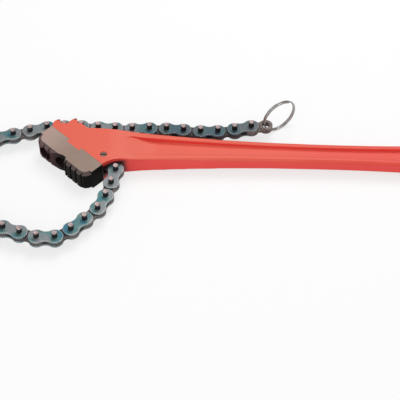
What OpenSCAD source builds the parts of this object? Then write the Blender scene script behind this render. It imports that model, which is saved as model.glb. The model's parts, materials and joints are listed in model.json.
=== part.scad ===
// Chain wrench: a forged handle with a horned head, a toothed jaw and a long-pin chain.
// The chain lies hooked on the horns, with its tail along the handle's far edge.
// Millimetres. +X runs from the head to the handle's end and +Z is up.
// The origin is the foot of the anchor screw's axis, on the surface the tool lies on.

/* [Chain] */
// Distance between neighbouring pins
pitch = 15.875; // [15.4:0.005:16.4]
// Diameter of a pin
pin_d = 5; // [4:0.1:5.6]
// Length of a pin over both ends
pin_len = 17.6; // [14:0.2:20]
// Bevel on the ends of a pin
pin_bevel = 0.4; // [0.1:0.1:0.8]
// Thickness of one plate
plate_t = 1.7; // [1.2:0.1:2]
// Diameter of a plate's round ends
eye_d = 14.6; // [13:0.1:15]
// Width of a plate at its waist
waist_w = 10.4; // [8:0.1:12]
// Gap between neighbouring plates
plate_gap = 0.1; // [0.06:0.02:0.2]
// Radial room for the inner plates that turn on a pin
run_gap = 0.06; // [0.02:0.01:0.1]
// Radial room for the outer plates that a pin is riveted into
rivet_gap = 0.03; // [0.02:0.01:0.05]

/* [Lie of the chain] */
// Directions in degrees of the links that come down from the anchor screw
lie_side = [-43, -100, -103, -111, -130, -132]; // [-180:1:0]
// Directions in degrees of the links along the near side of the loop
lie_near = [-145, -178, -196, -198]; // [-220:1:-120]
// Links on the far left round of the loop
round_links = 9; // [9]
// How late the round turns, as a share of its whole turn
round_lag = 0.104; // [0.1:0.001:0.108]
// How gently the round starts and ends, as a share of its whole turn
round_ease = 0.048; // [0.046:0.001:0.05]
// Directions in degrees of the links that come back to the horns
lie_hook = [-342, -342, -342, -353.5, -357.5]; // [-360:0.5:-330]
// Directions in degrees of the links of the tail
lie_tail = [-363, -362, -361, -355, -359, -363, -364, -357, -349, -344]; // [-370:1:-330]
// Direction in degrees of the end link
lie_end = -350; // [-352:1:-340]

/* [End link and ring] */
// Distance from the last pin to the ring's hole
tab_reach = 13.7; // [13.5:0.1:16]
// Diameter of the end link's round end
tab_d = 12.8; // [12:0.1:15]
// Thickness of the end link at its round end
tab_t = 5.4; // [4:0.1:6]
// Diameter of the ring's hole
tab_hole_d = 7.2; // [7:0.1:8]
// Mean diameter of the ring
ring_d = 33.5; // [32:0.5:34]
// Diameter of the ring's wire
wire_d = 1.5; // [1.3:0.1:1.7]
// Gap between the ring's two turns
wire_gap = 0.45; // [0.42:0.01:0.6]
// Turns of wire in the ring
ring_turns = 1.9; // [1.8:0.05:2]
// Height of the ring's middle over the chain's middle
ring_rise = 6.9; // [6.8:0.1:7.2]
// Direction in degrees that the ring's plane runs in
ring_dir = 33; // [28:1:36]

/* [Head] */
// Thickness of the head
head_t = 22; // [21:0.5:26]
// Room on each side of the chain in the head's slot
slot_gap = 0.45; // [0.35:0.05:0.8]
// Room under and around the plates in the head's slot
slot_floor_gap = 0.8; // [0.6:0.1:1]
// Room between a hooked pin and its horn, along the chain
flank_gap = 0.65; // [0.5:0.05:0.9]
// Room under a hooked pin
seat_gap = 1.1; // [0.8:0.1:1.4]
// Lean of a horn's holding flank, in degrees
flank_lean = 22; // [18:1:26]
// Height of the first horn over its pin's axis
horn_1_rise = 1.5; // [1:0.1:2.5]
// Height of the second horn over its pin's axis
horn_2_rise = 2.6; // [1.5:0.1:3]
// Length of the upper and the lower half of a horn's ramp
ramp_run = [2.6, 2.4]; // [2:0.1:3]
// Fall of the upper and the lower half of a horn's ramp
ramp_fall = [0.9, 2.1]; // [0.5:0.1:2.5]
// Length of the seat behind the first horn
seat_run = 3.6; // [3:0.1:4]
// Length of the shoulder behind the second horn
shoulder_run = 7.4; // [6:0.1:9]
// Radius of the bay that the first free pin lies in
bay_r = 30; // [26:0.5:36]
// Diameter of the anchor screw
screw_d = 6; // [5:0.1:6.6]
// Radial room round the anchor screw in the head
screw_gap = 0.05; // [0.03:0.01:0.08]
// Depth of the anchor screw's top below the head's upper face
screw_sink = 0.5; // [0.2:0.1:1]

/* [Jaw] */
// Length of the jaw
jaw_len = 68; // [64:0.5:70]
// Depth of the jaw over its teeth
jaw_depth = 21.6; // [21:0.1:23]
// Direction in degrees of the jaw
jaw_dir = -42; // [-44:0.5:-40]
// Room between the jaw's corner and the plates that pass it
corner_gap = 0.9; // [0.5:0.1:2]
// Direction in degrees from the passing pin to the jaw's corner
corner_dir = -44; // [-46:1:-42]
// Radius of the jaw's two front corners
jaw_corner_r = 8.6; // [7:0.1:9]
// Bevel on the jaw's front edges, top and bottom
jaw_bevel = 2.8; // [1.5:0.1:3.2]
// Gaps between the teeth of the jaw's left and right pad
tooth_gaps = [3, 4]; // [2:1:4]
// Distance from tooth to tooth
tooth_pitch = 6.9; // [6.2:0.1:7]
// Distance from each end of the jaw to the nearest gap between teeth
tooth_end = 5.6; // [5:0.1:7]
// Depth of the gaps between the teeth
tooth_depth = 3; // [2:0.1:3.6]
// Width of the gaps between the teeth
tooth_gap_w = 2.6; // [2:0.1:3.4]
// Depth of the relief between the two pads
relief_depth = 4.6; // [3:0.1:5]
// Run of the relief's steep end at the right pad
relief_step = 1.6; // [1:0.1:3]
// Run of the relief's floor before that end
relief_floor = 4; // [2:0.1:6]
// Width of the key on the head's face
key_w = 16; // [12:0.5:20]
// Height of the key on the head's face
key_h = 3.2; // [2:0.1:3.6]
// Shift of the key along the head's face
key_at = -1.7; // [-2:0.1:1]
// Room between the key and the jaw
key_gap = 0.05; // [0.02:0.01:0.1]
// Distances of the jaw's two screws from its left end
jaw_screw_x = [13, 32.6]; // [12.5:0.1:33]
// Diameter of a jaw screw's shank
jaw_screw_d = 6; // [5:0.1:7]
// Diameter of a jaw screw's head
jaw_head_d = 10.4; // [9:0.1:11]
// Height of a jaw screw's head
jaw_head_h = 5.4; // [4:0.1:6]
// Width across the flats of a jaw screw's socket
jaw_socket_af = 5; // [4:0.1:6]
// Diameter of the hollow over a jaw screw
hollow_d = 12.8; // [11.4:0.1:13.2]
// Depth of the hollow over a jaw screw
hollow_depth = 12.4; // [11:0.1:13]
// Depth of a jaw screw in the head
jaw_screw_hold = 8.5; // [6:0.5:9]

/* [Handle] */
// Distance from the anchor screw to the handle's end
handle_reach = 390; // [380:1:450]
// Width of the handle at its root
root_w = 34; // [30:0.5:38]
// Distance from the anchor screw to the handle's root
root_x = 22; // [20:0.5:26]
// Width of the handle at its waist
handle_waist_w = 22.6; // [20:0.2:26]
// Distance from the anchor screw to the handle's waist
handle_waist_x = 212; // [190:1:230]
// Diameter of the handle's round end
end_d = 38; // [34:0.5:42]
// Diameter of the hole to hang the tool by
hang_d = 16; // [10:0.5:20]
// Thickness of the handle at its root
root_t = 16; // [14:0.5:19]
// Thickness of the handle along its shank
shank_t = 13; // [11:0.5:15]
// Distance from the anchor screw to the start of the thicker round end
boss_x = 332; // [320:1:336]
// Run over which the thickness eases up to the round end's
boss_run = 24; // [16:1:26]
// Distance from the anchor screw to the end of the head's full thickness
full_x = 1; // [0:0.5:6]
// Run over which the thickness eases down from the head's to the root's
neck_run = 32; // [24:1:40]
// Distance from the anchor screw to the shank's even thickness
even_x = 150; // [100:1:180]
// Width of the rims along the handle's two edges
rim_w = 5.8; // [4:0.1:7]
// Thickness of the web between the rims
web_t = 6; // [4:0.1:8]
// Distance from the anchor screw to the start of the web
web_start_x = 15; // [14:0.5:20]
// Run over which the hollow above the web gets its full depth
web_ramp = 34; // [24:1:40]
// Room between the handle's edge and the chain's tail
tail_gap = 1.4; // [1:0.1:3]

/* [Hidden] */
$fn = 96;
// Sides of the long, flat arcs along the handle
arc_fn = 900;

// Chain, from its middle plane outwards
mid_z = head_t / 2;
pin_r = pin_d / 2;
eye_r = eye_d / 2;
inner_z = plate_gap / 2;
outer_z = inner_z + plate_t + plate_gap;
stack_t = 2 * (outer_z + plate_t);
tongue_t = 2 * (inner_z + plate_t);
waist_r = (pow(pitch / 2, 2) + pow(waist_w / 2, 2) - pow(eye_r, 2)) / (eye_d - waist_w);

// Directions of all links, and the place of each pin in plan
first_lie = concat(lie_side, lie_near);
round_from = first_lie[len(first_lie) - 1];
round_turn = lie_hook[0] - round_from;
function eased(t) = t - round_lag * sin(180 * t) - round_ease * sin(360 * t);
lie_round = [for (i = [1:round_links]) round_from + round_turn * eased(i / (round_links + 1))];
lie = concat(first_lie, lie_round, lie_hook, lie_tail);
links = len(lie);
function ahead(a) = [cos(a), sin(a)];
function pin_at(n) = n == 0 ? [0, 0] : pin_at(n - 1) + pitch * ahead(lie[n - 1]);

// The two hooked pins, and the pins beside the jaw and the handle's root
hook_1 = len(first_lie) + round_links + len(lie_hook) - 1;
hook_2 = hook_1 + 1;
hook_1_at = pin_at(hook_1);
hook_2_at = pin_at(hook_2);
corner_pin_at = pin_at(hook_1 - 1);
tail_pin_at = pin_at(hook_2 + 3);

// Head: the slot that the chain runs in, the horns and the bay
slot_w = stack_t + 2 * slot_gap;
slot_floor_y = hook_1_at.y - eye_r - slot_floor_gap;
slot_r = eye_r + slot_floor_gap;
seat_y = pin_r + seat_gap;
flank_x = pin_r + flank_gap;
function flank(y) = -flank_x - y * tan(flank_lean);
ramp_top = [-ramp_run[0], -ramp_fall[0]];
ramp_foot = ramp_top + [-ramp_run[1], -ramp_fall[1]];

// Jaw: its back left corner passes the plates of the pin before the horns
jaw_u = ahead(jaw_dir);
jaw_corner = corner_pin_at + (eye_r + corner_gap) * ahead(corner_dir);
jaw_at = jaw_corner + jaw_u * jaw_len / 2;
relief_left = -jaw_len / 2 + tooth_end + (tooth_gaps[0] - 0.6) * tooth_pitch;
relief_right = jaw_len / 2 - tooth_end - (tooth_gaps[1] - 1) * tooth_pitch - tooth_gap_w / 2;
function jaw_pt(x, y) = jaw_at + x * jaw_u + y * ahead(jaw_dir + 90);

// Handle: its far edge lies beside the chain's tail, and its near edge runs into the bay
handle_y = tail_pin_at.y - eye_r - tail_gap - root_w / 2;
bay_at = [root_x - 1, handle_y - root_w / 2 - bay_r];
end_x = handle_reach - end_d / 2;
function arc_r(run, rise) = (run * run + rise * rise) / (2 * rise);
root_step = (root_w - handle_waist_w) / 2;
root_arc_r = arc_r(handle_waist_x - root_x, root_step);
grip_step = (end_d - handle_waist_w) / 2;
grip_arc_r = arc_r(end_x - handle_waist_x, grip_step);
function grip_half(x) = handle_waist_w / 2 + grip_arc_r - sqrt(pow(grip_arc_r, 2) - pow(x - handle_waist_x, 2));
web_end_r = grip_half(boss_x - 12) - rim_w;
web_end_x = boss_x - web_end_r - 1;

// Half thickness of the handle at a distance from the anchor screw, with eased steps
ease_steps = 8;
function ease(t) = t <= 0 ? 0 : t >= 1 ? 1 : (1 - cos(180 * t)) / 2;
neck_x = full_x + neck_run;
function half_t(x) =
    x < neck_x ? (head_t + (root_t - head_t) * ease((x - full_x) / neck_run)) / 2 :
    x < even_x ? (root_t + (shank_t - root_t) * (x - neck_x) / (even_x - neck_x)) / 2 :
    (shank_t + (head_t - shank_t) * ease((x - boss_x) / boss_run)) / 2;
function eased_line(from_x, run) =
    [for (i = [0:ease_steps]) let (x = from_x + run * i / ease_steps) [x, half_t(x)]];

// End link and ring
end_link_at = pin_at(links);
ring_hole_at = end_link_at + tab_reach * ahead(lie_end);
ring_r = ring_d / 2;
ring_z = mid_z + ring_rise;
ring_step = wire_d + wire_gap;
ring_back = sqrt(pow(ring_r, 2) - pow(ring_rise, 2)) - 0.35;
ring_rings = 40;
ring_sides = 8;
ring_start = 60;

function two(n) = n < 10 ? str("0", n) : str(n);
function link_name(kind, n) = str(kind, "_", two(n));
function is_outer(n) = n % 2 == 0;

// Outline of the handle in plan, from the head's root to its round end
module shank_plan() {
    translate([0, handle_y]) {
        difference() {
            translate([root_x, -root_w / 2])
                square([handle_waist_x - root_x, root_w]);
            for (side = [-1, 1])
                translate([handle_waist_x, side * (handle_waist_w / 2 + root_arc_r)])
                    circle(r = root_arc_r, $fn = arc_fn);
        }
        difference() {
            translate([handle_waist_x, -end_d / 2])
                square([end_x - handle_waist_x, end_d]);
            for (side = [-1, 1])
                translate([handle_waist_x, side * (handle_waist_w / 2 + grip_arc_r)])
                    circle(r = grip_arc_r, $fn = arc_fn);
        }
        translate([end_x, 0])
            circle(d = end_d);
    }
}

// A horn's points from its seat up the holding flank and down its ramp
function horn(at, rise) = [
    at + [flank(-seat_y), -seat_y],
    at + [flank(rise), rise],
    at + [flank(rise), rise] + ramp_top,
    at + [flank(rise), rise] + ramp_foot
];

// Outline of the head in plan: jaw face, bay, handle's root, far edge and horns
module head_plan() {
    difference() {
        polygon(concat(
            [
                jaw_pt(-jaw_len / 2, 0),
                jaw_pt(jaw_len / 2, 0),
                [root_x + 1, handle_y - root_w / 2],
                [root_x + 1, handle_y + root_w / 2],
                hook_2_at + [shoulder_run, -slot_floor_gap - eye_r - 1],
                hook_2_at + [1, -seat_y]
            ],
            horn(hook_2_at, horn_2_rise),
            [hook_1_at + [seat_run, -seat_y]],
            horn(hook_1_at, horn_1_rise)
        ));
        translate(bay_at)
            circle(r = bay_r, $fn = 4 * $fn);
    }
}

// Side view of the handle: full at the head and at the round end, thinner along the shank
module side_view() {
    far = handle_reach + 10;
    upper = concat(
        [[-handle_reach, head_t / 2]],
        eased_line(full_x, neck_run),
        [[even_x, shank_t / 2]],
        eased_line(boss_x, boss_run),
        [[far, head_t / 2]]
    );
    lower = [for (i = [len(upper) - 1:-1:0]) [upper[i].x, -upper[i].y]];
    polygon(concat(upper, lower));
}

// Outline of the hollow on each face of the handle, between its rims
module web_plan() {
    round_r = root_w / 2 - rim_w;
    translate([0, handle_y]) {
        difference() {
            translate([web_start_x + round_r, -round_r])
                square([handle_waist_x - web_start_x - round_r, 2 * round_r]);
            for (side = [-1, 1])
                translate([handle_waist_x, side * (handle_waist_w / 2 - rim_w + root_arc_r)])
                    circle(r = root_arc_r, $fn = arc_fn);
        }
        translate([web_start_x + round_r, 0])
            circle(r = round_r);
        difference() {
            translate([handle_waist_x, -web_end_r])
                square([web_end_x - handle_waist_x, 2 * web_end_r]);
            for (side = [-1, 1])
                translate([handle_waist_x, side * (handle_waist_w / 2 - rim_w + grip_arc_r)])
                    circle(r = grip_arc_r, $fn = arc_fn);
        }
        translate([web_end_x, 0])
            circle(r = web_end_r);
    }
}

// Side view of that hollow over the middle plane: its floor sinks gently from the handle's
// face, just over it at first, to the web
module web_side() {
    steps = ease_steps + 2;
    sinking = [
        for (i = [0:steps])
            let (t = i / steps, x = web_start_x + web_ramp * t, top = half_t(x))
            [x, i == 0 ? top + 0.06 : top + (web_t / 2 - top) * ease(t)]
    ];
    polygon(concat(
        [[web_start_x, head_t]],
        sinking,
        [[handle_reach, web_t / 2], [handle_reach, head_t]]
    ));
}

// Plan of the slot: along the top for the hooked links, and round the anchored link
module slot_plan() {
    translate([-handle_reach / 2, slot_floor_y])
        square([handle_reach, head_t * 2]);
    circle(r = slot_r);
    rotate(lie[0])
        translate([0, -slot_r])
            square([2 * pitch, 2 * slot_r]);
}

// Places of the jaw's screws: along the jaw, with the screw's axis out of the jaw's back
module at_jaw_screws() {
    for (x = jaw_screw_x)
        translate(concat(jaw_pt(x - jaw_len / 2, 0), [mid_z]))
            rotate([0, 0, jaw_dir])
                rotate([-90, 0, 0])
                    children();
}

module handle() {
    color([0.85, 0.26, 0.22])
    difference() {
        union() {
            intersection() {
                linear_extrude(head_t)
                    union() {
                        head_plan();
                        shank_plan();
                    }
                translate([0, handle_reach, mid_z])
                    rotate([90, 0, 0])
                        linear_extrude(2 * handle_reach)
                            side_view();
            }
            translate(concat(jaw_pt(key_at - key_w / 2, -key_h), [0]))
                rotate(jaw_dir)
                    cube([key_w, key_h + 1, head_t]);
        }
        translate([0, 0, mid_z - slot_w / 2])
            linear_extrude(slot_w)
                slot_plan();
        for (side = [0, 1])
            translate([0, 0, mid_z])
                mirror([0, 0, side])
                    intersection() {
                        linear_extrude(head_t)
                            web_plan();
                        translate([0, handle_reach, 0])
                            rotate([90, 0, 0])
                                linear_extrude(2 * handle_reach)
                                    web_side();
                    }
        translate([0, 0, -1])
            cylinder(d = screw_d + 2 * screw_gap, h = head_t + 2);
        translate([end_x, handle_y, -1])
            cylinder(d = hang_d, h = head_t + 2);
        at_jaw_screws()
            translate([0, 0, -key_h - 1])
                cylinder(d = jaw_screw_d + 2 * screw_gap, h = jaw_screw_hold + key_h + 1);
    }
}

// The jaw's block: round front corners, with a bevel all along its front, top and bottom
module jaw_block() {
    side_x = jaw_len / 2 - jaw_corner_r;
    side_y = jaw_depth - jaw_corner_r;
    translate([-jaw_len / 2, -side_y, 0])
        cube([jaw_len, side_y, head_t]);
    translate([-side_x, 0, 0])
        rotate([90, 0, 90])
            linear_extrude(2 * side_x)
                polygon([
                    [0, 0],
                    [-jaw_depth + jaw_bevel, 0],
                    [-jaw_depth, jaw_bevel],
                    [-jaw_depth, head_t - jaw_bevel],
                    [-jaw_depth + jaw_bevel, head_t],
                    [0, head_t]
                ]);
    for (side = [-1, 1])
        translate([side * side_x, -side_y, 0]) {
            cylinder(r1 = jaw_corner_r - jaw_bevel, r2 = jaw_corner_r, h = jaw_bevel);
            translate([0, 0, jaw_bevel])
                cylinder(r = jaw_corner_r, h = head_t - 2 * jaw_bevel);
            translate([0, 0, head_t - jaw_bevel])
                cylinder(r1 = jaw_corner_r, r2 = jaw_corner_r - jaw_bevel, h = jaw_bevel);
        }
}

// Plan of what is cut from the jaw: gaps between its teeth, the relief and the key's notch
module jaw_cuts_plan() {
    half = jaw_len / 2;
    for (side = [0, 1], i = [0:tooth_gaps[side] - 1])
        translate([(2 * side - 1) * (half - tooth_end - i * tooth_pitch), -jaw_depth])
            polygon([
                [-tooth_gap_w / 2, -0.01],
                [tooth_gap_w / 2, -0.01],
                [0, tooth_depth]
            ]);
    translate([0, -jaw_depth])
        polygon([
            [relief_left, -0.01],
            [relief_right, -0.01],
            [relief_right - relief_step, relief_depth],
            [relief_right - relief_step - relief_floor, relief_depth]
        ]);
    translate([key_at - key_w / 2 - key_gap, -key_h - key_gap])
        square([key_w + 2 * key_gap, key_h + 2]);
}

module jaw() {
    color([0.67, 0.58, 0.55])
    difference() {
        translate(concat(jaw_at, [0]))
            rotate(jaw_dir)
                difference() {
                    jaw_block();
                    translate([0, 0, -1])
                        linear_extrude(head_t + 2)
                            jaw_cuts_plan();
                }
        at_jaw_screws() {
            translate([0, 0, -jaw_depth - 1])
                cylinder(d = hollow_d, h = hollow_depth + 1);
            translate([0, 0, -jaw_depth])
                cylinder(d = jaw_screw_d + 2 * screw_gap, h = jaw_depth + 1);
        }
    }
}

module jaw_screws() {
    color([0.13, 0.12, 0.12])
    at_jaw_screws() {
        seat = -jaw_depth + hollow_depth;
        difference() {
            union() {
                translate([0, 0, seat])
                    cylinder(d = jaw_screw_d, h = jaw_screw_hold - seat - 0.3);
                translate([0, 0, seat - jaw_head_h])
                    cylinder(d = jaw_head_d, h = jaw_head_h);
            }
            translate([0, 0, seat - jaw_head_h - 1])
                cylinder(d = jaw_socket_af / cos(30), h = jaw_head_h * 0.6 + 1, $fn = 6);
        }
    }
}

module chain_screw() {
    slot_depth = 1.2;
    color([0.36, 0.28, 0.25])
    difference() {
        cylinder(d = screw_d, h = head_t - screw_sink);
        translate([-screw_d, -0.6, head_t - screw_sink - slot_depth])
            cube([2 * screw_d, 1.2, slot_depth + 1]);
    }
}

// One chain plate along +X, with a pin hole at each end and arcs in to its waist
module plate(hole_a, hole_b) {
    lean = atan2(waist_w / 2 + waist_r, pitch / 2);
    linear_extrude(plate_t)
        difference() {
            union() {
                circle(r = eye_r);
                translate([pitch, 0])
                    circle(r = eye_r);
                translate([eye_r * cos(lean), -eye_r * sin(lean)])
                    square([pitch - 2 * eye_r * cos(lean), 2 * eye_r * sin(lean)]);
            }
            for (side = [-1, 1])
                translate([pitch / 2, side * (waist_w / 2 + waist_r)])
                    circle(r = waist_r);
            circle(r = hole_a);
            translate([pitch, 0])
                circle(r = hole_b);
        }
}

// Two plates of a link, one over and one under the chain's middle plane
module plate_pair(n, z, hole_a, hole_b) {
    translate(concat(pin_at(n - 1), [mid_z]))
        rotate(lie[n - 1]) {
            translate([0, 0, z])
                plate(hole_a, hole_b);
            translate([0, 0, -z - plate_t])
                plate(hole_a, hole_b);
        }
}

module inner(n) {
    color([0.36, 0.31, 0.31])
        plate_pair(n, inner_z, (n == 1 ? screw_d / 2 : pin_r) + run_gap, pin_r + run_gap);
}

module outer(n) {
    color([0.46, 0.53, 0.54])
        plate_pair(n, outer_z, pin_r + rivet_gap, pin_r + rivet_gap);
}

module pin() {
    translate([0, 0, -pin_len / 2]) {
        cylinder(r1 = pin_r - pin_bevel, r2 = pin_r, h = pin_bevel);
        translate([0, 0, pin_bevel])
            cylinder(r = pin_r, h = pin_len - 2 * pin_bevel);
        translate([0, 0, pin_len - pin_bevel])
            cylinder(r1 = pin_r, r2 = pin_r - pin_bevel, h = pin_bevel);
    }
}

module pins(n) {
    color([0.62, 0.57, 0.56])
    for (end = [n - 1, n])
        translate(concat(pin_at(end), [mid_z]))
            pin();
}

// End link: a thin tongue between the last plates and a thick round end for the ring
module end_link() {
    color([0.47, 0.42, 0.4])
    translate(concat(end_link_at, [mid_z]))
        rotate(lie_end)
            difference() {
                union() {
                    translate([0, 0, -tongue_t / 2])
                        cylinder(r = eye_r - 0.4, h = tongue_t);
                    translate([0, -waist_w / 2, -tongue_t / 2])
                        cube([tab_reach, waist_w, tongue_t]);
                    difference() {
                        translate([tab_reach, 0, -tab_t / 2])
                            cylinder(d = tab_d, h = tab_t);
                        for (side = [-1, 1])
                            translate([0, 0, side * (tongue_t / 2 + tab_t / 2) - tab_t / 2])
                                cylinder(r = eye_r + 0.5, h = tab_t);
                    }
                }
                translate([0, 0, -tab_t])
                    cylinder(r = pin_r + run_gap, h = 2 * tab_t);
                translate([tab_reach, 0, -tab_t])
                    cylinder(d = tab_hole_d, h = 2 * tab_t);
            }
}

// Middle line of the ring's wire, in its own upright plane: each station has a place and
// its angle round the ring, and the wire runs straight for its own thickness at each end
ring_count = round(ring_rings * ring_turns);
function ring_angle(i) = ring_start + 360 * i / ring_rings;
function ring_point(i) =
    let (a = ring_angle(i))
    [ring_r * cos(a), (i / ring_rings - ring_turns / 2) * ring_step, ring_r * sin(a)];
function ring_ahead(i) =
    let (a = ring_angle(i))
    [-sin(a), ring_step / (PI * ring_d), cos(a)];
ring_stations = concat(
    [[ring_point(0) - wire_d * ring_ahead(0), ring_angle(0)]],
    [for (i = [0:ring_count]) [ring_point(i), ring_angle(i)]],
    [[ring_point(ring_count) + wire_d * ring_ahead(ring_count), ring_angle(ring_count)]]
);
ring_last = len(ring_stations) - 1;
ring_least_gap = min([
    for (i = [0:ring_last], j = [0:ring_last])
        if (j - i > ring_rings / 2) norm(ring_stations[i][0] - ring_stations[j][0]) - wire_d
]);
echo(ring_least_gap = ring_least_gap);

// The wire's skin: a round of points about each station, walls between them and two caps
module ring() {
    skin = [
        for (station = ring_stations, s = [0:ring_sides - 1])
            let (a = station[1], b = 360 * s / ring_sides)
            station[0] + wire_d / 2 * [cos(b) * cos(a), sin(b), cos(b) * sin(a)]
    ];
    function at(i, s) = i * ring_sides + s % ring_sides;
    walls = [
        for (i = [0:ring_last - 1], s = [0:ring_sides - 1], half = [0, 1])
            half == 0
                ? [at(i, s), at(i, s + 1), at(i + 1, s + 1)]
                : [at(i, s), at(i + 1, s + 1), at(i + 1, s)]
    ];
    caps = [
        for (s = [1:ring_sides - 2], end = [0, 1])
            end == 0
                ? [at(0, 0), at(0, s + 1), at(0, s)]
                : [at(ring_last, 0), at(ring_last, s), at(ring_last, s + 1)]
    ];
    color([0.6, 0.59, 0.57])
    translate(concat(ring_hole_at, [ring_z]))
        rotate(ring_dir)
            translate([ring_back, 0, 0])
                polyhedron(points = skin, faces = concat(walls, caps));
}

handle();
jaw();
jaw_screws();
chain_screw();
for (n = [1:2:links])
    inner(n);
for (n = [2:2:links]) {
    outer(n);
    pins(n);
}
end_link();
ring();
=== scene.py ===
# %% [markdown]
# # A chain wrench, dressed for its photograph
# A chain wrench grips a pipe between a toothed jaw and a loop of chain. The tool lies on its side:
# a red forged handle, a steel jaw, a long-pin chain hooked on two horns, and a key ring at its end.
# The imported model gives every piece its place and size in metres. This lesson rounds the pieces'
# edges, gives them their finishes, and lights them as a catalogue photograph would.

# %% Load the frame
import json
import math

import bmesh
import bpy
from mathutils import Matrix, Vector

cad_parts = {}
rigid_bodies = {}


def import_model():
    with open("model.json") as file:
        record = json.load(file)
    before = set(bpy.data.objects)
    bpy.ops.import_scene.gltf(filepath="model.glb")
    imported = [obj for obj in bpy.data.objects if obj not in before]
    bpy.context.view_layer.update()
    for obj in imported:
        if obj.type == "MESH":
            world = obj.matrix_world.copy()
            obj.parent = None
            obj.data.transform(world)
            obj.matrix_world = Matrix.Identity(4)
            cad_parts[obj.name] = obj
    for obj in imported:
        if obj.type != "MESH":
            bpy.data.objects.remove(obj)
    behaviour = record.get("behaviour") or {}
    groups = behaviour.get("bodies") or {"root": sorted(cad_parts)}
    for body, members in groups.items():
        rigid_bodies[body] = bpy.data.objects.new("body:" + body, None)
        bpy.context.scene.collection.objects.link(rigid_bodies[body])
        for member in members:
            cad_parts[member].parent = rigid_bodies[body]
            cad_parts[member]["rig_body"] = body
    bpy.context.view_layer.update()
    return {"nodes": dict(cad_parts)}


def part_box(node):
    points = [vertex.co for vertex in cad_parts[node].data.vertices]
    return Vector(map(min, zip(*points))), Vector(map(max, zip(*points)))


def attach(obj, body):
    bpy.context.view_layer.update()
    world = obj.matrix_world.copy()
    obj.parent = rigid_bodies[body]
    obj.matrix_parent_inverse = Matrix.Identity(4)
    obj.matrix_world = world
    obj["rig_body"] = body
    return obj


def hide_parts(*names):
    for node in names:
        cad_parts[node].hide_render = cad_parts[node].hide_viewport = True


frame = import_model()
MM = 0.001

# %% [markdown]
# ## The camera
# The photograph looks down at the tool at about 50 degrees through a long lens, so that the pins
# lean hardly at all from one side of the picture to the other. Such a camera could be aimed at an
# empty. Two angles and a place are enough here, because the tool lies flat and the camera is level.

# %% Camera
CAMERA_DOWN = 50.0
CAMERA_YAW = 2.288
CAMERA_PLACE = Vector((116.0, -723.2, 824.1)) * MM
CAMERA_LENS = 108.0
CAMERA_SENSOR = 36.0
CAMERA_NEAREST = 10.0 * MM

camera_data = bpy.data.cameras.new("camera")
camera_data.sensor_width = CAMERA_SENSOR
camera_data.lens = CAMERA_LENS
camera_data.clip_start = CAMERA_NEAREST
camera = bpy.data.objects.new("camera", camera_data)
camera.location = CAMERA_PLACE
camera.rotation_euler = (math.radians(90.0 - CAMERA_DOWN), 0.0, math.radians(CAMERA_YAW))
bpy.context.scene.collection.objects.link(camera)
bpy.context.scene.camera = camera
print("camera lens", CAMERA_LENS, "mm,", CAMERA_DOWN, "degrees down")

# %% [markdown]
# ## Writing shader maths as Python
# A material is a graph of nodes. Wiring it by hand hides the idea behind the plugs, so one small
# class wraps an output socket and lets Python's operators add the Math nodes. The reflected forms
# let a plain number come first, as in 1 - mask.

# %% One value on a surface
class Value:
    """One number that changes over a surface, with Python's operators."""

    def __init__(self, finish, socket):
        self.finish = finish
        self.socket = socket

    def maths(self, operation, first, second=0.0):
        settings = {"operation": operation}
        return self.finish.add("ShaderNodeMath", settings, {0: first, 1: second})

    def __add__(self, other):
        return self.maths("ADD", self, other)

    def __radd__(self, other):
        return self.maths("ADD", other, self)

    def __sub__(self, other):
        return self.maths("SUBTRACT", self, other)

    def __rsub__(self, other):
        return self.maths("SUBTRACT", other, self)

    def __mul__(self, other):
        return self.maths("MULTIPLY", self, other)

    def __rmul__(self, other):
        return self.maths("MULTIPLY", other, self)

    def larger(self, other):
        return self.maths("MAXIMUM", self, other)

    def unsigned(self):
        return self.maths("ABSOLUTE", self)

    def between(self, low, high):
        """0 under low and 1 over high, with a smooth step from one to the other."""
        settings = {"interpolation_type": "SMOOTHSTEP"}
        inputs = {"Value": self, "From Min": low, "From Max": high}
        return self.finish.add("ShaderNodeMapRange", settings, inputs)


def near(across, along, spot, inner, outer):
    """1 within inner of a spot and 0 beyond outer, measured in two directions, in metres."""
    aside = across - spot[0]
    ahead = along - spot[1]
    return 1.0 - (aside * aside + ahead * ahead).between(inner * inner, outer * outer)


print("values ready")

# %% [markdown]
# ## A finish and its nodes
# Any other node comes from one method that takes a node's type, its settings and its inputs. The
# short methods after it stand for what the finishes need again and again: a mix of two colours, a
# cloud of noise, a distance along an axis, edges for wear and for painted highlights, and level
# faces. The patterns read Object coordinates, so they stay where they are on a piece when it moves.

# %% A finish
EDGE_SAMPLES = 6
EDGE_STARTS = 0.01


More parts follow.
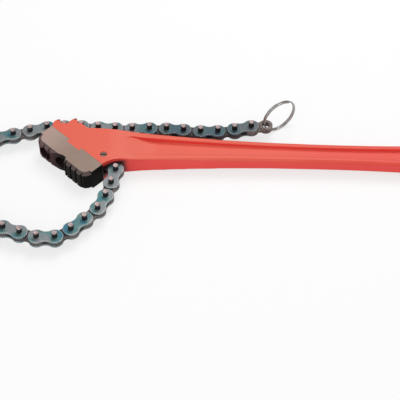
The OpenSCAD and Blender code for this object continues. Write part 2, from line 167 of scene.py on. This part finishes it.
class Finish:
    """A material with one Principled shader, and short ways to add nodes to it."""

    def __init__(self, name):
        self.material = bpy.data.materials.new(name)
        self.material.use_nodes = True
        self.nodes = self.material.node_tree.nodes
        self.links = self.material.node_tree.links
        self.shader = self.nodes["Principled BSDF"]

    def plug(self, socket, value):
        if isinstance(value, Value):
            self.links.new(value.socket, socket)
        elif socket.type == "RGBA":
            socket.default_value = (*value[:3], 1.0)
        else:
            socket.default_value = value

    def add(self, kind, settings, inputs, output=0):
        node = self.nodes.new(kind)
        for key, setting in settings.items():
            setattr(node, key, setting)
        for key, value in inputs.items():
            self.plug(node.inputs[key], value)
        return Value(self, node.outputs[output])

    def shade(self, **inputs):
        """Sets the shader's own sockets: Base_Color for Base Color, and so on."""
        for key, value in inputs.items():
            self.plug(self.shader.inputs[key.replace("_", " ")], value)

    def mix(self, amount, first, second):
        """A colour between two. A Mix node takes colours in its inputs 6 and 7, out by output 2."""
        settings = {"data_type": "RGBA"}
        return self.add("ShaderNodeMix", settings, {0: amount, 6: first, 7: second}, output=2)

    def place(self, stretch=(1.0, 1.0, 1.0), turn=0.0):
        spot = self.add("ShaderNodeTexCoord", {}, {}, output="Object")
        inputs = {"Vector": spot, "Scale": stretch, "Rotation": (0.0, 0.0, math.radians(turn))}
        return self.add("ShaderNodeMapping", {}, inputs)

    def along(self, axis, turn=0.0):
        """How far a point lies along X, Y or Z, in metres, with the piece turned about Z first."""
        return self.add("ShaderNodeSeparateXYZ", {}, {0: self.place(turn=turn)}, output=axis)

    def noise(self, size, detail=3.0, rough=0.5, stretch=(1.0, 1.0, 1.0), turn=0.0):
        """Soft cloudy spots about as large as size, in metres."""
        inputs = {"Vector": self.place(stretch, turn), "Scale": 1.0 / size}
        inputs.update({"Detail": detail, "Roughness": rough})
        return self.add("ShaderNodeTexNoise", {}, inputs)

    def edges(self, width, full=0.25):
        """1 on edges, for wear and painted highlights, 0 on open faces: how far a rounded normal
        leaves the true one.
        """
        rounded = self.add("ShaderNodeBevel", {"samples": EDGE_SAMPLES}, {"Radius": width})
        true = self.add("ShaderNodeNewGeometry", {}, {}, output="True Normal")
        settings = {"operation": "DOT_PRODUCT"}
        likeness = self.add("ShaderNodeVectorMath", settings, {0: rounded, 1: true}, output="Value")
        return (1.0 - likeness).between(EDGE_STARTS, full)

    def level(self, low, high, normals="True Normal"):
        """0 on walls and 1 on faces that look up or down, with a step from low to high."""
        normal = self.add("ShaderNodeNewGeometry", {}, {}, output=normals)
        upward = self.add("ShaderNodeSeparateXYZ", {}, {0: normal}, output="Z")
        return upward.unsigned().between(low, high)

    def bump(self, height, strength, depth):
        inputs = {"Strength": strength, "Distance": depth, "Height": height}
        self.shade(Normal=self.add("ShaderNodeBump", {}, inputs))


print("finishes ready")

# %% [markdown]
# ## The floor
# The tool lies on a white sweep. A lamp strong enough to burn the floor white would burn the paint
# too, so the floor shows the camera a share of plain white and keeps the tool's shadow in the rest.
# Steel mirrors the same white, because glossy rays get it as well.

# %% White floor
FLOOR_SIZE = 40.0
FLOOR_WHITE = 0.7
PURE_WHITE = (1.0, 1.0, 1.0)
PAPER_WHITE = (0.96, 0.96, 0.96)

floor_finish = Finish("white_sweep")
floor_finish.shade(Base_Color=PAPER_WHITE, Roughness=0.9)
seen = floor_finish.add("ShaderNodeLightPath", {}, {}, output="Is Camera Ray")
mirrored = floor_finish.add("ShaderNodeLightPath", {}, {}, output="Is Glossy Ray")
white = floor_finish.add("ShaderNodeEmission", {}, {"Color": PURE_WHITE, "Strength": 1.0})
lit = Value(floor_finish, floor_finish.shader.outputs[0])
floor_mix = floor_finish.add(
    "ShaderNodeMixShader", {}, {0: seen.larger(mirrored) * FLOOR_WHITE, 1: lit, 2: white}
)
floor_out = floor_finish.nodes["Material Output"]
floor_finish.links.new(floor_mix.socket, floor_out.inputs["Surface"])

floor_mesh = bpy.data.meshes.new("floor")
bm = bmesh.new()
bmesh.ops.create_grid(bm, x_segments=1, y_segments=1, size=FLOOR_SIZE / 2)
bm.to_mesh(floor_mesh)
bm.free()
floor = bpy.data.objects.new("floor", floor_mesh)
floor.data.materials.append(floor_finish.material)
bpy.context.scene.collection.objects.link(floor)
print("floor", FLOOR_SIZE, "m wide")

# %% [markdown]
# ## The light
# The brighter light stands behind the tool and high up, so that top faces shine, faces towards the
# camera stay dark, and soft shadows fall forwards. A wide box in front and an even, dim sky keep the
# dark faces readable. Sun lamps would be simpler, but their shadows are hard.

# %% Lights
LIGHT_AIM = Vector((60.0, 0.0, 0.0)) * MM
SKY_LIGHT = 0.4


def softbox(name, place, size, power):
    """A square lamp at a place, aimed at the tool."""
    lamp = bpy.data.lights.new(name, "AREA")
    lamp.size = size
    lamp.energy = power
    box = bpy.data.objects.new(name, lamp)
    box.location = place
    box.rotation_euler = (LIGHT_AIM - Vector(place)).to_track_quat("-Z", "Y").to_euler()
    bpy.context.scene.collection.objects.link(box)


softbox("key_behind", place=(0.3, 0.62, 1.2), size=0.8, power=10.0)
softbox("fill_front", place=(-0.4, -1.3, 1.0), size=1.4, power=10.0)

world = bpy.data.worlds.new("studio")
world.use_nodes = True
sky = world.node_tree.nodes["Background"]
sky.inputs["Color"].default_value = (*PURE_WHITE, 1.0)
sky.inputs["Strength"].default_value = SKY_LIGHT
bpy.context.scene.world = world
bpy.context.scene.view_settings.view_transform = "Standard"
print("two softboxes and a dim sky")

# %% [markdown]
# ## Red enamel
# The forging is dipped in a thick red enamel, more orange on the head and deeper along the grip.
# Its faces that look up or down are painted lighter and more orange as lit faces, and its sides a
# deeper red as painted shade. It lies smooth over the scale below, a little uneven like orange peel,
# and it is paler along the edges that get knocked. The horns' tips, the slot in the head and the bay
# that the chain leaves by are painted near black as shade. Paint masks could hold all this, but a
# point's place and the way its face looks are enough to tell these parts apart.

# %% Red enamel
LIT_HEAD_RED = (0.79, 0.118, 0.068)
LIT_GRIP_RED = (0.80, 0.07, 0.045)
LIT_CLOUD_RED = (0.84, 0.115, 0.066)
SHADED_SIDE_RED = (0.82, 0.052, 0.045)
SHADED_SIDE_CLOUD = (0.86, 0.064, 0.053)
KNOCKED_RED = (0.9, 0.2, 0.13)
SLOT_PAINTED_SHADE = (0.012, 0.006, 0.006)
HORN_TIP_SHADE = (0.05, 0.022, 0.018)
GRIP_FADE = (30.0 * MM, 260.0 * MM)
SLOT_MIDDLE = 11.0 * MM
SLOT_REACH = (4.15 * MM, 4.45 * MM)
SLOT_FADE = (8.0 * MM, 16.0 * MM)
BAY_REACH = (5.5 * MM, 8.5 * MM)
BAY_NEAR = (-4.0 * MM, 1.0 * MM)
BAY_FADE = (17.0 * MM, 23.0 * MM)
HORN_TIPS = ((-29.0 * MM, 43.8 * MM), (-44.4 * MM, 42.1 * MM))
HORN_SHADE_REACH = (0.8 * MM, 3.4 * MM)

enamel = Finish("red_enamel")
cloud = enamel.noise(50.0 * MM, detail=4.0)
# Painted light: this lighter, more orange red goes on faces that look up or down, as if lit, and the
# deeper side red below is painted shade.
lit_top_red = enamel.mix(enamel.along("X").between(*GRIP_FADE), LIT_HEAD_RED, LIT_GRIP_RED)
lit_top_red = enamel.mix(cloud.between(0.35, 0.75) * 0.5, lit_top_red, LIT_CLOUD_RED)
shaded_side_red = enamel.mix(cloud.between(0.3, 0.7), SHADED_SIDE_RED, SHADED_SIDE_CLOUD)
red = enamel.mix(enamel.level(0.05, 0.6, "Normal"), shaded_side_red, lit_top_red)
scuffs = enamel.noise(6.0 * MM, detail=5.0, rough=0.65)
knocked = enamel.edges(1.0 * MM) * scuffs.between(0.45, 0.65)
red = enamel.mix(knocked * 0.35, red, KNOCKED_RED)
height = (enamel.along("Z") - SLOT_MIDDLE).unsigned()
in_slot = 1.0 - height.between(*SLOT_REACH)
in_slot = in_slot * (1.0 - enamel.along("X").between(*SLOT_FADE))
in_bay = (1.0 - height.between(*BAY_REACH)) * (1.0 - enamel.along("Y").between(*BAY_NEAR))
in_bay = in_bay * (1.0 - enamel.along("X").between(*BAY_FADE))
# Painted shade: the slot in the head and the bay round the first link are painted near black.
red = enamel.mix(in_slot.larger(in_bay) * 0.94, red, SLOT_PAINTED_SHADE)
# Painted shade: the tips of the horns are painted near black.
for tip in HORN_TIPS:
    horn_shade = near(enamel.along("X"), enamel.along("Y"), tip, *HORN_SHADE_REACH)
    red = enamel.mix(horn_shade * 0.85, red, HORN_TIP_SHADE)
peel = enamel.noise(1.6 * MM, detail=2.0) + enamel.noise(20.0 * MM, detail=2.0) * 1.2
enamel.shade(Base_Color=red, Roughness=0.42 + cloud * 0.12, Coat_Weight=0.1, Coat_Roughness=0.3)
enamel.shade(Specular_IOR_Level=0.35)
enamel.bump(peel, strength=0.16, depth=0.3 * MM)
print("red enamel:", len(enamel.nodes), "nodes")

# %% [markdown]
# ## Jaw steel
# The jaw is a hardened forging. Its two broad faces are ground, show fine scratches and are painted
# pale as lit faces; the bevels round the teeth are painted a half-lit brown; and the gripping side
# keeps its heat treatment under painted shade. The direction that a face looks in tells these three
# apart, and a painted shade along the jaw darkens all three towards its end by the chain, so the
# gripping side goes from purple-brown to black. The two screw hollows are painted near black as
# shade.

# %% Jaw steel
LIT_GROUND_PALE = (0.43, 0.31, 0.27)
SHADED_GROUND_DULL = (0.31, 0.225, 0.185)
GROUND_STAIN = (0.3, 0.26, 0.22)
HALF_LIT_BEVEL_BROWN = (0.16, 0.115, 0.11)
SHADED_BEVEL_DARK = (0.12, 0.09, 0.085)
OXIDE_AND_PAINTED_SHADE_BROWN = (0.15, 0.068, 0.076)
OXIDE_AND_PAINTED_SHADE_BLACK = (0.004, 0.003, 0.0025)
HEAT_STAIN = (0.01, 0.006, 0.006)
BARE_EDGE = (0.42, 0.36, 0.34)
HOLLOW_PAINTED_SHADE = (0.011, 0.005, 0.005)
JAW_TURN = -42.0
JAW_SHADE_SPAN = (-56.0 * MM, -20.0 * MM)
JAW_HOLLOWS = ((-46.7 * MM, 11.0 * MM), (-27.1 * MM, 11.0 * MM))
JAW_HOLLOW_EDGE = (6.45 * MM, 6.75 * MM)
SCRATCHES = (0.06, 1.0, 1.0)

jaw_steel = Finish("jaw_steel")
# Painted light: top faces get a pale lit colour, the bevels a half-lit brown, and the gripping side
# painted shade over its oxide.
ground_lit_top = jaw_steel.level(0.85, 0.97)
bevelled = jaw_steel.level(0.3, 0.6)
grain = jaw_steel.noise(1.2 * MM, rough=0.6, stretch=SCRATCHES, turn=-JAW_TURN)
stain = jaw_steel.noise(12.0 * MM, detail=4.0)
# Painted shade along the jaw: all three colours darken towards the jaw's end by the chain.
down_jaw = jaw_steel.along("X", -JAW_TURN)
shade_along_jaw = down_jaw.between(*JAW_SHADE_SPAN)
pale = jaw_steel.mix(shade_along_jaw, LIT_GROUND_PALE, SHADED_GROUND_DULL)
pale = jaw_steel.mix(stain.between(0.45, 0.75) * 0.5, pale, GROUND_STAIN)
brown = jaw_steel.mix(shade_along_jaw, HALF_LIT_BEVEL_BROWN, SHADED_BEVEL_DARK)
dark = jaw_steel.mix(shade_along_jaw, OXIDE_AND_PAINTED_SHADE_BROWN, OXIDE_AND_PAINTED_SHADE_BLACK)
dark = jaw_steel.mix(stain.between(0.4, 0.7) * 0.3, dark, HEAT_STAIN)
steel = jaw_steel.mix(bevelled, dark, brown)
steel = jaw_steel.mix(ground_lit_top, steel, pale)
bare = jaw_steel.edges(0.7 * MM) * stain.between(0.3, 0.6)
steel = jaw_steel.mix(bare * 0.3, steel, BARE_EDGE)
# Painted shade: the two screw hollows are painted near black.
for hollow in JAW_HOLLOWS:
    hollow_shade = near(down_jaw, jaw_steel.along("Z"), hollow, *JAW_HOLLOW_EDGE)
    steel = jaw_steel.mix(hollow_shade * 0.92, steel, HOLLOW_PAINTED_SHADE)
jaw_steel.shade(Base_Color=steel, Metallic=ground_lit_top * 0.45, Roughness=0.45 + grain * 0.15)
jaw_steel.shade(Specular_IOR_Level=0.05)
jaw_steel.bump(grain + stain * 2.0, strength=0.25, depth=0.2 * MM)
print("jaw steel:", len(jaw_steel.nodes), "nodes")

# %% [markdown]
# ## Heat-tinted chain plates
# Stamped plates come out of the furnace with oxide colours: blue-green on the outer ones. The inner
# ones, which lie under them, are darker brown and grey. The rims get a painted highlight. A cloud of
# noise runs through three tints, a dark one makes the specks, and the rounded edges get a pale steel
# as painted highlight. The plates of the tail are darker, with weaker rim highlights.

# %% Chain plates
OUTER_TINTS = ((0.045, 0.17, 0.23), (0.1, 0.21, 0.21), (0.23, 0.25, 0.26))
OUTER_DARK = (0.045, 0.06, 0.07)
OUTER_RIM_HIGHLIGHT = (0.78, 0.8, 0.79)
INNER_TINTS = ((0.045, 0.032, 0.035), (0.08, 0.055, 0.058), (0.11, 0.095, 0.095))
INNER_DARK = (0.02, 0.016, 0.016)
INNER_RIM_HIGHLIGHT = (0.22, 0.19, 0.19)
TAIL_FADE = (-25.0 * MM, 75.0 * MM)
TAIL_SIDE = (5.0 * MM, 25.0 * MM)


def tail_of(finish):
    """1 on the chain's tail beyond the handle and 0 on its loop."""
    return finish.along("X").between(*TAIL_FADE) * finish.along("Y").between(*TAIL_SIDE)


def plate_finish(name, tints, dark, rim):
    """Oxide tints that drift from plate to plate, with painted highlights on the rims."""
    finish = Finish(name)
    drift = finish.noise(22.0 * MM, rough=0.55)
    tint = finish.mix(drift.between(0.4, 0.47), tints[0], tints[1])
    tint = finish.mix(drift.between(0.48, 0.56), tint, tints[2])
    speck = finish.noise(1.1 * MM, rough=0.6)
    # Painted highlight: the rounded rims get a pale steel where they would catch the light.
    rim_highlight_mask = finish.edges(0.9 * MM, full=0.07)
    # The plates of the tail are darker, and their rims less bright.
    in_tail = tail_of(finish)
    tint = finish.mix(in_tail * 0.78, tint, dark)
    tint = finish.mix(speck.between(0.52, 0.7) * 0.35, tint, dark)
    tint = finish.mix(rim_highlight_mask * (0.85 - in_tail * 0.4), tint, rim)
    finish.shade(Base_Color=tint, Metallic=0.55, Roughness=0.36 + speck * 0.2)
    finish.bump(speck + drift, strength=0.18, depth=0.12 * MM)
    return finish


outer_steel = plate_finish("outer_plate_steel", OUTER_TINTS, OUTER_DARK, OUTER_RIM_HIGHLIGHT)
inner_steel = plate_finish("inner_plate_steel", INNER_TINTS, INNER_DARK, INNER_RIM_HIGHLIGHT)
print("plates:", len(outer_steel.nodes), "nodes each")

# %% [markdown]
# ## The pins' steel
# A pin's side is black from hardening, with painted shade darkening it further, and its two ends are
# ground pale and pinkish. One finish serves both, because the ends are the only faces of a pin that
# look up or down.

# %% Pin steel
PIN_SIDE_OXIDE_AND_SHADE = (0.022, 0.022, 0.024)
PIN_END_DULL = (0.36, 0.26, 0.255)
PIN_END_PALE = (0.5, 0.39, 0.375)
PIN_END_TAIL = (0.2, 0.14, 0.14)

pin_steel = Finish("pin_steel")
pin_mark = pin_steel.noise(1.6 * MM)
pin_tint = pin_steel.mix(pin_mark.between(0.35, 0.65), PIN_END_DULL, PIN_END_PALE)
pin_tint = pin_steel.mix(tail_of(pin_steel) * 0.45, pin_tint, PIN_END_TAIL)
# The black of the pins' sides is partly oxide and partly painted shade.
pin_tint = pin_steel.mix(pin_steel.level(0.55, 0.8), PIN_SIDE_OXIDE_AND_SHADE, pin_tint)
pin_steel.shade(Base_Color=pin_tint, Metallic=0.5, Roughness=0.36 + pin_mark * 0.2)
pin_steel.bump(pin_mark, strength=0.2, depth=0.1 * MM)
print("pin steel:", len(pin_steel.nodes), "nodes")

# %% [markdown]
# ## Screws, end link and ring
# The jaw's screws are blackened and the anchor screw is brown. The end link is dull grey-brown steel,
# and the key ring is plain grey spring wire. All four are one steel with two close tones each, so one
# function makes them.

# %% Small steel finishes
WORN_GAIN = 1.7
WORN_LIFT = 0.05


def plain_steel(name, low, high, metal, rough):
    """One steel in two close tones, with rubbed edges and a fine tooth."""
    finish = Finish(name)
    mottle = finish.noise(6.0 * MM, detail=4.0, rough=0.6)
    tone = finish.mix(mottle.between(0.35, 0.65), low, high)
    worn_tone = tuple(min(1.0, WORN_GAIN * part + WORN_LIFT) for part in high)
    tone = finish.mix(finish.edges(0.5 * MM) * 0.5, tone, worn_tone)
    finish.shade(Base_Color=tone, Metallic=metal, Roughness=rough + mottle * 0.15)
    finish.bump(finish.noise(0.9 * MM), strength=0.2, depth=0.1 * MM)
    return finish


black_steel = plain_steel(
    "black_screw_steel", (0.012, 0.011, 0.011), (0.035, 0.03, 0.03), metal=0.6, rough=0.35
)
screw_steel = plain_steel(
    "anchor_screw_steel", (0.09, 0.05, 0.04), (0.2, 0.13, 0.11), metal=0.7, rough=0.35
)
end_steel = plain_steel(
    "end_link_steel", (0.1, 0.075, 0.07), (0.19, 0.15, 0.14), metal=0.5, rough=0.4
)
ring_steel = plain_steel(
    "ring_wire_steel", (0.30, 0.29, 0.28), (0.44, 0.43, 0.41), metal=0.85, rough=0.25
)
print("four small steels ready")

# %% [markdown]
# ## Rounded copies of the solids
# No real edge is perfectly sharp: a forging has generous fillets and a stamped plate has rolled rims.
# A node's own mesh is loose triangles, so a copy is welded and its flat faces are joined. Then the
# edges between faces that meet at a clear angle are bevelled, and the copy stands for the node.
# Weighted normals keep the broad faces flat, so that only the rounded edges catch the light.

# %% Rounding helpers
SHARP = math.radians(28.0)
FLAT = math.radians(0.4)
WELD = 0.001 * MM


def clean_copy(node):
    """A welded copy of a node's mesh with its flat faces joined."""
    bm = bmesh.new()
    bm.from_mesh(frame["nodes"][node].data)
    bmesh.ops.remove_doubles(bm, verts=bm.verts[:], dist=WELD)
    bmesh.ops.dissolve_limit(
        bm, angle_limit=FLAT, use_dissolve_boundaries=False, verts=bm.verts[:], edges=bm.edges[:]
    )
    return bm


def clear_edges(bm):
    """The edges between two faces that meet at a clear angle."""
    return [edge for edge in bm.edges if edge.is_manifold and edge.calc_face_angle(0.0) > SHARP]


def stand_for(node, bm, finish):
    """The piece that takes a node's place: it rides on the node's body and hides the node."""
    for face in bm.faces:
        face.smooth = True
    mesh = bpy.data.meshes.new(node + "_rounded")
    bm.to_mesh(mesh)
    bm.free()
    piece = bpy.data.objects.new(node + "_rounded", mesh)
    piece.data.materials.append(finish.material)
    bpy.context.scene.collection.objects.link(piece)
    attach(piece, frame["nodes"][node]["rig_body"])
    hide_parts(node)
    return piece


def flatten_shading(piece):
    """Lets the broad faces set the normals at their edges."""
    weigh = piece.modifiers.new("broad_faces_flat", "WEIGHTED_NORMAL")
    weigh.mode = "FACE_AREA"
    weigh.keep_sharp = True


def rounded(node, radius, segments, finish, slot, bm=None):
    """A node's copy with all its clear edges bevelled alike."""
    bm = bm or clean_copy(node)
    bmesh.ops.bevel(
        bm, geom=clear_edges(bm), offset=radius, offset_type="OFFSET", segments=segments,
        profile=0.5, affect="EDGES", clamp_overlap=True, material=-1,
    )
    for edge in bm.edges:
        edge.smooth = edge.calc_face_angle(0.0) < SHARP
    piece = stand_for(node, bm, finish)
    flatten_shading(piece)
    return piece


print("rounding helpers ready")

# %% [markdown]
# ## The handle
# A drop forging has broad fillets along its shank, soft edges round the hollow of its web, and a
# crisper head. One bevel of the whole copy would be as narrow as its smallest corner allows, so each
# edge gets its own width as a bevel weight, from its place and the faces it joins. The hollow grows
# out of the head and deepens along the grip, so the rounds widen in short steps. Long edges of the
# grip are cut first, so that each step has edges of its own.

# %% Fillet widths along the forging
HANDLE_LINE = 13.88 * MM
HANDLE_END = 371.0 * MM
HEAD_STARTS = -60.0 * MM
HEAD_ENDS = 14.0 * MM
RIM_STARTS = 2.0 * MM
HEAD_ROUND = 0.45 * MM
HOLLOW_ROUND = 1.2 * MM
WIDEST = 3.6 * MM
RIM_ROUNDS = (
    (HEAD_ROUND, HEAD_STARTS), (1.2 * MM, 33.5 * MM), (1.8 * MM, 45.0 * MM), (2.4 * MM, 60.0 * MM),
    (3.0 * MM, 80.0 * MM), (WIDEST, 105.0 * MM),
)
LIP_ROUNDS = (
    (0.0, HEAD_STARTS), (0.3 * MM, 28.0 * MM), (0.6 * MM, 36.0 * MM), (0.9 * MM, 43.0 * MM),
    (HOLLOW_ROUND, 50.0 * MM),
)
FOOT_ROUNDS = (
    (0.0, HEAD_STARTS), (0.3 * MM, 42.0 * MM), (0.6 * MM, 49.0 * MM), (0.9 * MM, 56.0 * MM),
    (HOLLOW_ROUND, 63.0 * MM),
)
KEY_PLACE = Vector((-27.0, 11.0)) * MM
KEY_REACH = 13.0 * MM
HOLE_REACH = 9.0 * MM
BROAD_LEAST = 0.8
WALL_MOST = 0.4


def width_at(rounds, x):
    """The widest of some rounds that has started by x."""
    return max(width for width, start in rounds if x > start)


def forging_round(edge):
    """How wide the fillet along an edge of the forging is."""
    wall, broad_face = sorted(edge.link_faces, key=lambda face: abs(face.normal.z))
    if abs(broad_face.normal.z) < BROAD_LEAST or abs(wall.normal.z) > WALL_MOST:
        return 0.0
    spot = (edge.verts[0].co + edge.verts[1].co) / 2
    middle = Vector((min(spot.x, HANDLE_END), HANDLE_LINE, spot.z))
    by_hole = spot.x > HANDLE_END - HOLE_REACH and (spot - middle).length < HOLE_REACH
    if by_hole or (spot.xy - KEY_PLACE).length < KEY_REACH:
        return 0.0
    if spot.x > RIM_STARTS and edge.is_convex and wall.normal.dot(spot - middle) > 0.0:
        return width_at(RIM_ROUNDS, spot.x)
    if spot.x < HEAD_ENDS:
        return HEAD_ROUND
    return width_at(LIP_ROUNDS if edge.is_convex else FOOT_ROUNDS, spot.x)


print("fillets from", HEAD_ROUND / MM, "to", WIDEST / MM, "mm")

# %% Handle
SHORTEST = 0.2 * MM
LONGEST = 12.0 * MM
LONG_CUTS = 5
FILLET_SEGMENTS = 4

bm = clean_copy("handle")
bmesh.ops.collapse(bm, edges=[edge for edge in bm.edges if edge.calc_length() < SHORTEST])
grip_edges = [edge for edge in clear_edges(bm) if max(v.co.x for v in edge.verts) > HEAD_ENDS]
long_edges = [edge for edge in grip_edges if edge.calc_length() > LONGEST]
bmesh.ops.bisect_edges(bm, edges=long_edges, cuts=LONG_CUTS)
weight = bm.edges.layers.float.new("bevel_weight_edge")
for edge in clear_edges(bm):
    edge[weight] = forging_round(edge) / WIDEST
    edge.smooth = edge[weight] > 0.0
handle = stand_for("handle", bm, enamel)
fillets = handle.modifiers.new("forged_fillets", "BEVEL")
fillets.limit_method = "WEIGHT"
fillets.width = WIDEST
fillets.segments = FILLET_SEGMENTS
fillets.profile = 0.5
fillets.use_clamp_overlap = False
flatten_shading(handle)
print("handle", len(handle.data.polygons), "faces before its fillets")

# %% [markdown]
# ## The jaw and the screws
# The jaw is hard and crisp, and screws are turned: their edges are only broken by a narrow bevel, so
# the copy with all its clear edges bevelled alike will do.

# %% Jaw and screws
JAW_EDGE = 0.4 * MM
JAW_SCREW_EDGE = 0.4 * MM
ANCHOR_EDGE = 0.3 * MM

jaw = rounded("jaw", JAW_EDGE, 2, jaw_steel, "jaw_steel")
rounded("jaw_screws", JAW_SCREW_EDGE, 2, black_steel, "black_steel")
rounded("chain_screw", ANCHOR_EDGE, 2, screw_steel, "dark_steel")
print("jaw", len(jaw.data.polygons), "faces")

# %% [markdown]
# ## The chain
# Each link is a pair of plates, and every second link carries the two pins that its neighbours turn
# on. The plates have thin rolled rims. A pin is riveted, which leaves a small dished mark in the
# middle of each end: an inset of the end's face, pushed in a little.

# %% Chain links
INNER_EDGE = 0.3 * MM
OUTER_EDGE = 0.5 * MM
PIN_EDGE = 0.15 * MM
END_LINK_EDGE = 0.6 * MM
DISH_RIM = 1.15 * MM
DISH_DEPTH = 0.3 * MM
PIN_END_LEAST = 0.99


def dished_pins(node):
    """The copy of a pair of pins with a dish in each of their ends."""
    bm = clean_copy(node)
    ends = [face for face in bm.faces if abs(face.normal.z) > PIN_END_LEAST]
    bmesh.ops.inset_individual(bm, faces=ends, thickness=DISH_RIM, depth=-DISH_DEPTH)
    return bm


links = sorted(name for name in frame["nodes"] if name.startswith(("inner_", "outer_", "pins_")))
for name in links:
    if name.startswith("inner_"):
        rounded(name, INNER_EDGE, 2, inner_steel, "inner_plates")
    elif name.startswith("outer_"):
        rounded(name, OUTER_EDGE, 3, outer_steel, "outer_plates")
    else:
        rounded(name, PIN_EDGE, 2, pin_steel, "pins", dished_pins(name))
rounded("end_link", END_LINK_EDGE, 3, end_steel, "end_steel")
print("chain:", len(links), "pieces and the end link")

# %% [markdown]
# ## The key ring
# A split ring is one wire wound twice round, its ends cut square. It could be a spun circle, but only
# a winding has the step where one turn passes the other. A curve with a round bevel follows the same
# winding as the solid, in the upright plane that the end link's hole leaves it, and is then made a
# mesh.

# %% Key ring
RING_MEAN = 16.75 * MM
RING_WIRE = 1.5 * MM
RING_STEP = 1.95 * MM
RING_TURNS = 1.9
RING_START = 60.0
RING_DIRECTION = 33.0
RING_POINTS = 160
WIRE_ROUNDNESS = 4

ring_low, ring_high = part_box("ring")
ring_middle = (ring_low + ring_high) / 2
ring_turn = Matrix.Rotation(math.radians(RING_DIRECTION), 4, "Z")
curve = bpy.data.curves.new("ring_winding", "CURVE")
curve.dimensions = "3D"
curve.bevel_depth = RING_WIRE / 2
curve.bevel_resolution = WIRE_ROUNDNESS
curve.use_fill_caps = True
winding = curve.splines.new("POLY")
winding.points.add(RING_POINTS)
for i, point in enumerate(winding.points):
    turns = RING_TURNS * i / RING_POINTS
    angle = math.radians(RING_START + 360.0 * turns)
    aside = (turns - RING_TURNS / 2) * RING_STEP
    spot = Vector((RING_MEAN * math.cos(angle), aside, RING_MEAN * math.sin(angle)))
    point.co = (*(ring_middle + ring_turn @ spot), 1.0)
ring_curve = bpy.data.objects.new("ring_curve", curve)
bpy.context.scene.collection.objects.link(ring_curve)
graph = bpy.context.evaluated_depsgraph_get()
ring_mesh = bpy.data.meshes.new_from_object(ring_curve.evaluated_get(graph))
bpy.data.objects.remove(ring_curve)
ring_mesh.materials.clear()
ring_mesh.materials.append(ring_steel.material)
for face in ring_mesh.polygons:
    face.use_smooth = True
ring = bpy.data.objects.new("key_ring", ring_mesh)
bpy.context.scene.collection.objects.link(ring)
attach(ring, "ring")
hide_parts("ring")
print("key ring:", len(ring_mesh.polygons), "faces")
